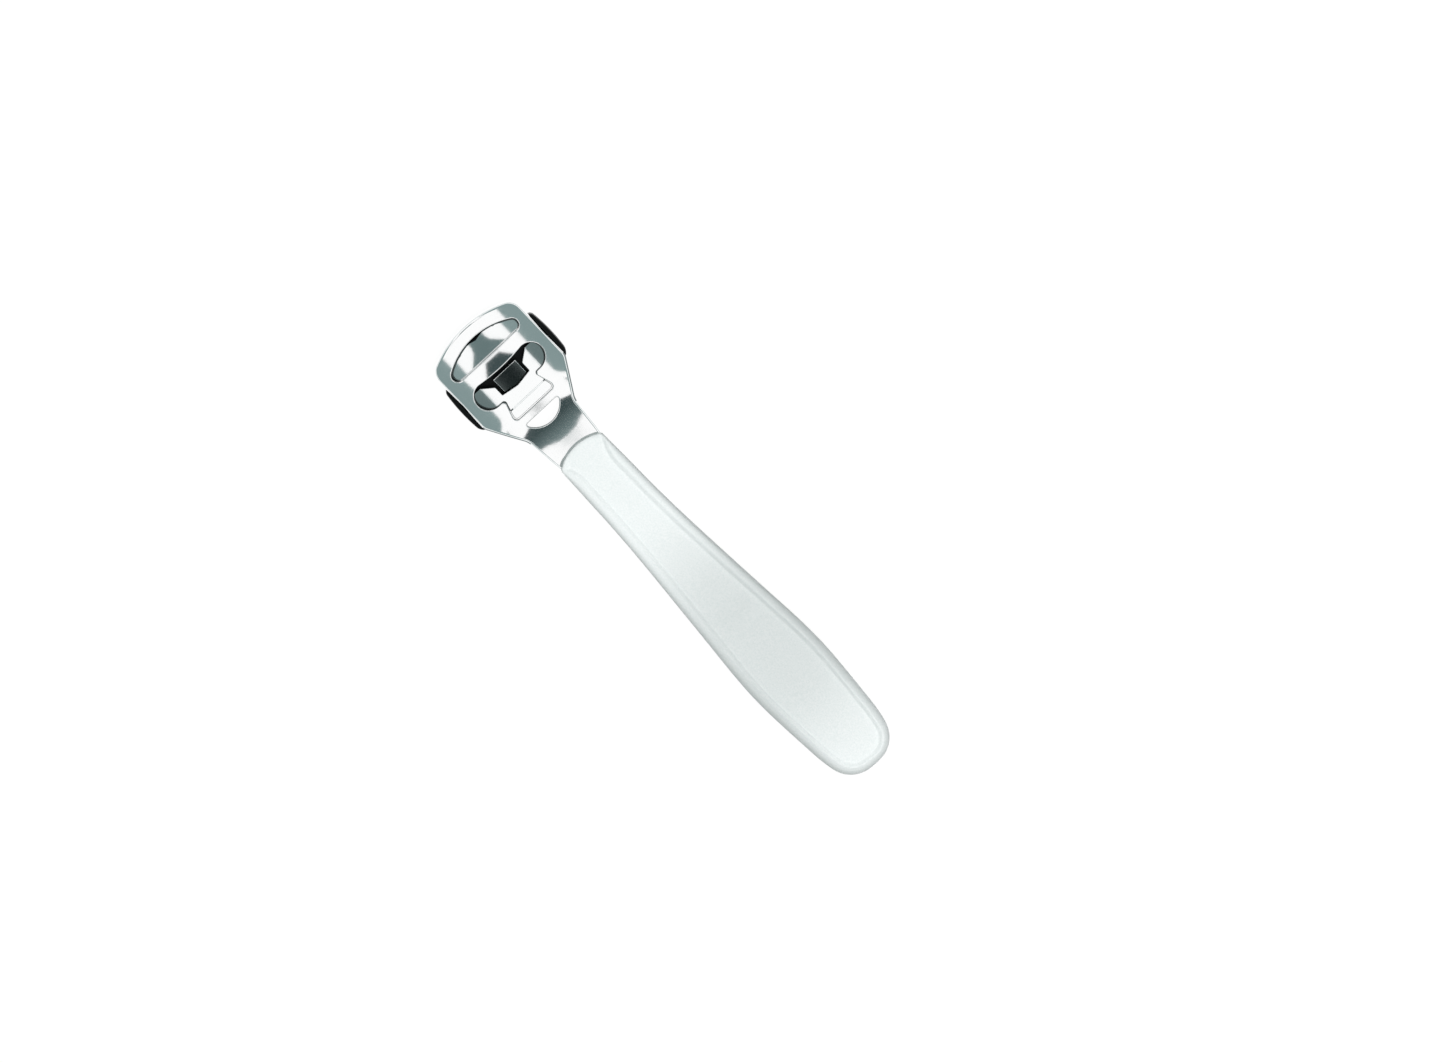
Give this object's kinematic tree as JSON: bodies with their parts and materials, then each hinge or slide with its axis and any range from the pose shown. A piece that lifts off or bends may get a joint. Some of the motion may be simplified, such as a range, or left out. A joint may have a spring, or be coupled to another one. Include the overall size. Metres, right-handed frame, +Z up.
{
  "type": "callus remover",
  "caption": "Callus remover: a chromed head with a crescent mouth and a thin bowed blade under a bridge, backed by a black guard, on a long white handle.",
  "frame": {"origin": "middle of the tool's length and width, on the surface that it lies on", "axes": "+X along the tool from the tip of the head to the butt of the handle, +Y across it, +Z up, out of the working face"},
  "size_m": [0.165, 0.033, 0.0092],
  "materials": {
    "frame_chrome": "mirror-bright chrome plating",
    "blade_steel": "fine ground steel",
    "clip_chrome": "mirror-bright chrome plating",
    "guard_black": "glossy black moulding",
    "handle_white": "satin white moulding with a fine grain"
  },
  "bodies": {
    "root": {"head_frame": "frame_chrome", "blade": "blade_steel", "blade_clip": "clip_chrome", "back_guard": "guard_black", "handle": "handle_white"}
  },
  "joints": []
}
